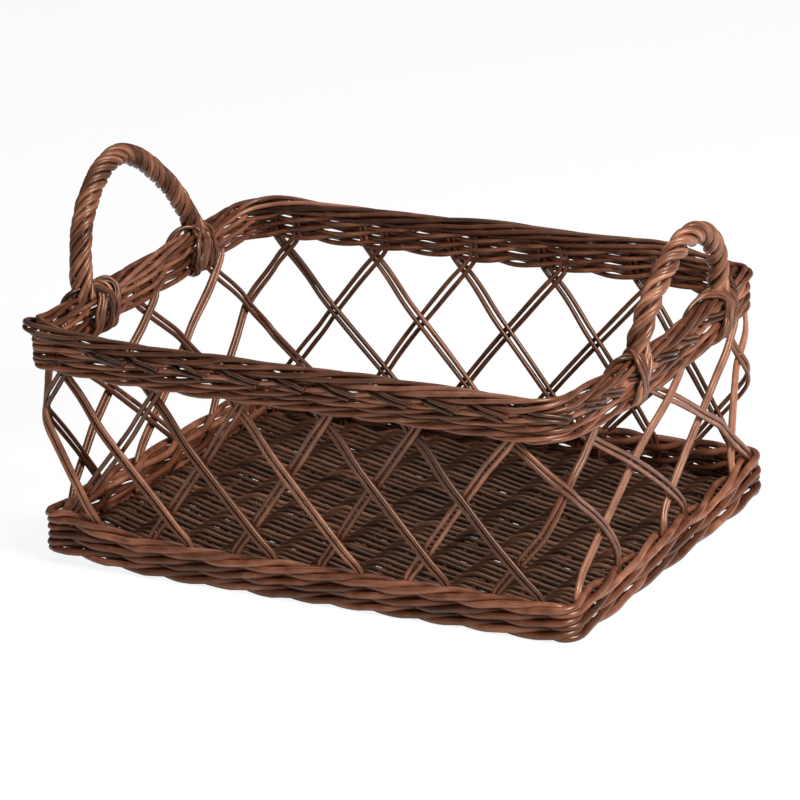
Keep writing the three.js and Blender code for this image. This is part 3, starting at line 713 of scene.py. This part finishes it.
def ropeRods(shape):
    count = handles["samples"]
    axis = [archPoint(shape, i / count) for i in range(count + 1)]
    steps = [(b - a).length for a, b in zip(axis, axis[1:])]
    length = sum(steps)
    # A core rod fills the rope like a handle bow; its near-black tone is painted shade between the strands
    rods = [rod(axis, 2 * shape["ring"] - shape["rod"] + handles["coreMore"], tone=handles["coreShadeTone"])]
    apart = math.radians(shape["beside"]) * 2 / (shape["rodsEach"] - 1)
    for strand in range(shape["strands"]):
        for thread in range(shape["rodsEach"]):
            path = []
            travel = 0
            aside = thread - (shape["rodsEach"] - 1) / 2            # the rods of a strand lie side by side
            turn = 2 * math.pi * strand / shape["strands"] + aside * apart
            proud = dice.uniform(*handles["proud"]) * (handles["middleProud"] if aside == 0 else 1)
            for i, point in enumerate(axis):
                before, after = axis[max(i - 1, 0)], axis[min(i + 1, count)]
                step = steps[i - 1] if i > 0 else 0
                travel += step
                toFoot = min(travel, length - travel)
                slack = 1 - handles["footSlack"] * math.exp(-toFoot / handles["footReach"])
                turn -= 2 * math.pi * step / mix(*shape["lay"], travel / length) * slack
                ahead = (after - before).normalized()
                sideways = Vector((1, 0, 0)).cross(ahead).normalized()
                outward = ahead.cross(sideways)
                thick = mix(*shape["thickness"], travel / length)
                splay = 1 + handles["splay"] * math.exp(-toFoot / handles["splayReach"])
                spoke = outward * math.cos(turn) + sideways * math.sin(turn)
                path.append(point + spoke * shape["ring"] * splay * proud * thick)
            width = shape["rod"] * dice.uniform(*handles["widths"])
            rods.append(rod(path, width, tone=dice.gauss(shape["tone"], handles["toneSpread"])))
    return rods


ties = {
    "rod": 3.2 * mm, "widths": (0.92, 1.05), "taper": 0.1, "tone": 0.33, "toneSpread": 0.14, "samples": 8,
    "pitch": 0.9, "wander": 1.7, "proud": (-0.8, 1),        # rod widths from rod to rod, then millimetres
    "out": 1.6 * mm, "up": 0.8 * mm,                        # clear of the rim
    "topSquare": 2.1, "underSquare": 3.2,                   # the rim is round on top and flat below
}


def tieRods(shape, count, stops):
    out = wallOut[shape["wall"]].x
    middleZ = (rimBottom + rimTop) / 2
    rods = []
    for k in range(count):
        shift = (k - (count - 1) / 2) * ties["rod"] * ties["pitch"] / mm
        route = []
        for turn, y, proud in stops:
            route.append((turn, y + shift + dice.gauss(0, ties["wander"]), proud + dice.uniform(*ties["proud"])))
        path = []
        for span in range(len(route) - 1):
            last = 1 if span == len(route) - 2 else 0
            for j in range(ties["samples"] + last):
                turn, y, proud = curveThrough(route, span, j / ties["samples"])
                angle = math.pi / 2 * (1 + turn)
                c, s = math.cos(angle), math.sin(angle)
                square = ties["topSquare" if s > 0 else "underSquare"]
                squeeze = (abs(c) ** square + abs(s) ** square) ** (-1 / square)
                halfOut = wallShape["halfBand"] + ties["out"] + proud * mm
                halfZ = (rimTop - rimBottom) / 2 + ties["up"] + proud * mm
                x = out * (rimSize.x / 2 - wallShape["halfBand"] + halfOut * c * squeeze)
                path.append(settle(x, y * mm, middleZ + halfZ * s * squeeze))
        width = ties["rod"] * dice.uniform(*ties["widths"])
        rods.append(rod(path, width, taper=ties["taper"], tone=dice.gauss(ties["tone"], ties["toneSpread"])))
    return rods


for side in ("left", "right"):
    rods = ropeRods(handles[side])
    for count, stops in handles[side]["ties"]:
        rods += tieRods(handles[side], count, stops)
    makePiece(f"{side}_handle_rope", rods, handleLitWillow, [f"{side}_handle"])


# Studio: pale floor, white surroundings, a broad light from the right

floor = {"half": 6, "color": "#f4f4f4", "roughness": 0.9, "lift": 0.88}         # lift: share of plain white seen
bm = bmesh.new()
bmesh.ops.create_grid(bm, x_segments=1, y_segments=1, size=floor["half"])
mesh = bpy.data.meshes.new("floor")
bm.to_mesh(mesh)
bm.free()
ground = bpy.data.objects.new("floor", mesh)
scene.collection.objects.link(ground)
paper = bpy.data.materials.new("White paper sweep")
paper.use_nodes = True
tree = paper.node_tree
matte = tree.nodes["Principled BSDF"]
matte.inputs["Base Color"].default_value = linear(floor["color"])
matte.inputs["Roughness"].default_value = floor["roughness"]
rays = addNode(tree, "ShaderNodeLightPath")
white = addNode(tree, "ShaderNodeEmission", None, {"Color": (1, 1, 1, 1), "Strength": 1})
seen = addNode(tree, "ShaderNodeMath", {"operation": "MULTIPLY"}, {1: floor["lift"]},
               {0: rays.outputs["Is Camera Ray"]})
blend = addNode(tree, "ShaderNodeMixShader", None, None,
                {0: seen.outputs["Value"], 1: matte.outputs["BSDF"], 2: white.outputs["Emission"]})
tree.links.new(blend.outputs["Shader"], tree.nodes["Material Output"].inputs["Surface"])
mesh.materials.append(paper)
ground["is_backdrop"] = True

studio = {"fill": 0.1, "seen": 1, "aim": Vector((0, 0, 100 * mm))}
world = bpy.data.worlds.new("studio")
scene.world = world
world.use_nodes = True
tree = world.node_tree
sky = tree.nodes["Background"]
sky.inputs["Color"].default_value = (1, 1, 1, 1)
rays = addNode(tree, "ShaderNodeLightPath")
level = addNode(tree, "ShaderNodeMapRange", None, {"To Min": studio["fill"], "To Max": studio["seen"]},
                {"Value": rays.outputs["Is Camera Ray"]})
tree.links.new(level.outputs["Result"], sky.inputs["Strength"])

lamps = {
    "key": {"place": (1.9, -0.5, 1.6), "size": 0.9, "power": 104},
    "top": {"place": (-0.3, 0.2, 2.4), "size": 1.4, "power": 22},
    "front": {"place": (-0.5, -2.4, 1.1), "size": 1.4, "power": 8.5},
}
for name, lamp in lamps.items():
    light = bpy.data.lights.new(name, "AREA")
    light.energy = lamp["power"]
    light.size = lamp["size"]
    holder = bpy.data.objects.new(name, light)
    holder.location = lamp["place"]
    holder.rotation_euler = (studio["aim"] - holder.location).to_track_quat("-Z", "Y").to_euler()
    scene.collection.objects.link(holder)

# Camera: where the photograph was taken from, worked out from the basket's edges
view = {
    "azimuth": 31.371, "elevation": 20.829, "roll": -4.336, "distance": 3355.788 * mm,
    "target": Vector((0, 0, 80 * mm)),
    "focal": 5044.916, "across": 0.115, "down": 14.46, "frame": 800,            # pixels of the photograph
    "sensor": 36, "farthest": 50,
}
a, e, r = (math.radians(view[key]) for key in ("azimuth", "elevation", "roll"))
back = Vector((math.sin(a) * math.cos(e), -math.cos(a) * math.cos(e), math.sin(e)))
right = Vector((math.cos(a), math.sin(a), 0))
up = back.cross(right)
rightTurned = right * math.cos(r) + up * math.sin(r)
upTurned = up * math.cos(r) - right * math.sin(r)
camera = bpy.data.cameras.new("camera")
camera.sensor_width = view["sensor"]
camera.lens = view["focal"] * view["sensor"] / view["frame"]
camera.shift_x = -view["across"] / view["frame"]
camera.shift_y = view["down"] / view["frame"]
camera.clip_end = view["farthest"]
holder = bpy.data.objects.new("camera", camera)
place = Vector((centre.x, centre.y, 0)) + view["target"] + back * view["distance"]
holder.matrix_world = Matrix([[rightTurned[k], upTurned[k], back[k], place[k]] for k in range(3)] + [[0, 0, 0, 1]])
scene.collection.objects.link(holder)
scene.camera = holder
scene.view_settings.view_transform = "Standard"

low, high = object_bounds()
print("scene done")
